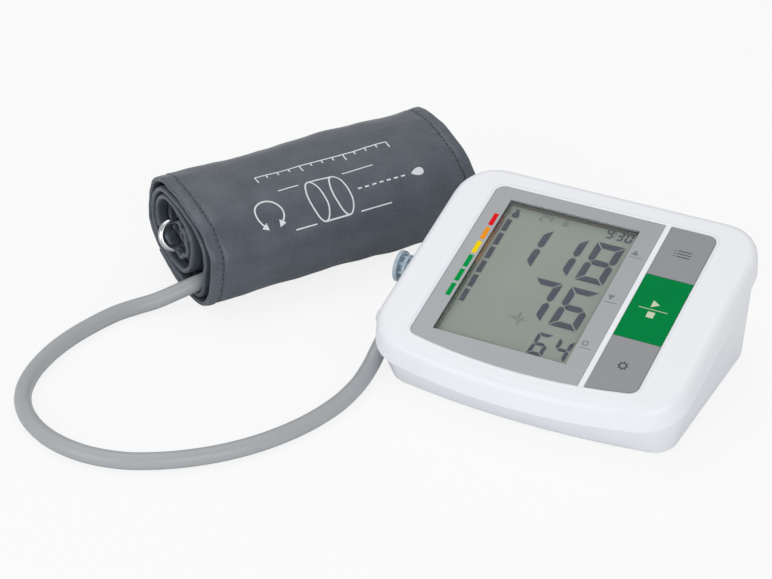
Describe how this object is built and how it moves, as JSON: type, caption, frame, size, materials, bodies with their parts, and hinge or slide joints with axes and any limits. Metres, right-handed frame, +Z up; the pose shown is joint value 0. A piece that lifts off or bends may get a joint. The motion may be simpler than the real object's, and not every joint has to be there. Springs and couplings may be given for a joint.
{
  "type": "upper arm blood pressure monitor",
  "caption": "Wedge-shaped upper arm blood pressure monitor with a sloping display, touch keys, a looping air hose with a push-in plug, and a rolled fabric arm cuff with a metal ring.",
  "frame": {"origin": "on the flat underside of the housing, below the middle of the face panel (the housing's own middle is 1 mm to the right), 0.8 mm above the surface that the rubber feet stand on", "axes": "+X to the right as seen from the keys' side, +Y from the low front to the high back, +Z up"},
  "size_m": [0.2951, 0.2874, 0.0634],
  "materials": {
    "housing_white": "satin",
    "surround": "brushed silver film",
    "window": "clear",
    "lcd": "grey-green liquid crystal glass",
    "holder": "matte",
    "zebra": "conductive strip",
    "board": "solder mask",
    "chip": "matte",
    "key_grey": "satin",
    "key_green": "satin",
    "switch": "matte",
    "plunger": "matte",
    "screw": "zinc plated",
    "cell": "sleeved",
    "contact": "nickel plated",
    "foot": "matte",
    "motor": "bright can",
    "sleeve": "foam",
    "tube": "translucent silicone",
    "fitting": "blue-grey",
    "fitting_white": "matte",
    "jack": "matte",
    "cap": "soft white",
    "wire": "insulation",
    "hose": "satin grey",
    "cloth": "coated nylon weave",
    "bladder": "sheet",
    "ring": "polished",
    "hook": "hook tape",
    "loop": "loop tape"
  },
  "bodies": {
    "monitor": {"upper_shell": "housing_white", "lower_shell": "housing_white", "display_bezel": "surround", "display_window": "window", "lcd_panel": "lcd", "lcd_holder": "holder", "zebra_strips": "zebra", "circuit_board": "board", "board_chips": "chip", "pressure_sensor": "fitting_white", "buzzer": "chip", "switch_bodies": "switch", "board_screws": "screw", "case_screws": "screw", "battery_cells": "cell", "battery_springs": "contact", "battery_plates": "contact", "rubber_feet": "foot", "pump_motor": "motor", "pump_head": "chip", "pump_sleeve": "sleeve", "release_valve": "fitting_white", "air_manifold": "fitting_white", "air_tubes": "tube", "air_socket": "fitting", "mains_jack": "jack", "wire_leads": "wire"},
    "memory": {"memory_key": "key_grey", "memory_plunger": "plunger"},
    "start": {"start_key": "key_green", "start_plunger": "plunger"},
    "set": {"set_key": "key_grey", "set_plunger": "plunger"},
    "door": {"battery_cover": "housing_white"},
    "jack_lid": {"jack_cover": "cap"},
    "cuff": {"air_plug": "fitting", "air_hose": "hose", "cuff_cloth": "cloth", "cuff_bladder": "bladder", "hose_port": "fitting", "hook_patch": "hook", "loop_patch": "loop"},
    "ring": {"cuff_ring": "ring"}
  },
  "joints": [
    {"name": "memory_press", "type": "slide", "parent": "monitor", "child": "memory", "axis": [0, 0.2924, -0.9563], "range_m": [0, 0.0006], "stiffness_N_per_m": 900, "springref_m": -0.0004},
    {"name": "start_press", "type": "slide", "parent": "monitor", "child": "start", "axis": [0, 0.2924, -0.9563], "range_m": [0, 0.0006], "stiffness_N_per_m": 900, "springref_m": -0.0004},
    {"name": "set_press", "type": "slide", "parent": "monitor", "child": "set", "axis": [0, 0.2924, -0.9563], "range_m": [0, 0.0006], "stiffness_N_per_m": 900, "springref_m": -0.0004},
    {"name": "door_slide", "type": "slide", "parent": "monitor", "child": "door", "axis": [0, 1, 0], "range_m": [0, 0.014]},
    {"name": "jack_lid_pull", "type": "slide", "parent": "monitor", "child": "jack_lid", "axis": [-1, 0, 0], "range_m": [0, 0.007]},
    {"name": "air_plug_pull", "type": "slide", "parent": "monitor", "child": "cuff", "axis": [-1, 0, 0], "range_m": [0, 0.015]},
    {"name": "ring_swing", "type": "hinge", "parent": "cuff", "child": "ring", "pos_m": [-0.19448, -0.02133, 0.03434], "axis": [0.5299, 0.848, 0], "range_deg": [-12, 12]}
  ]
}
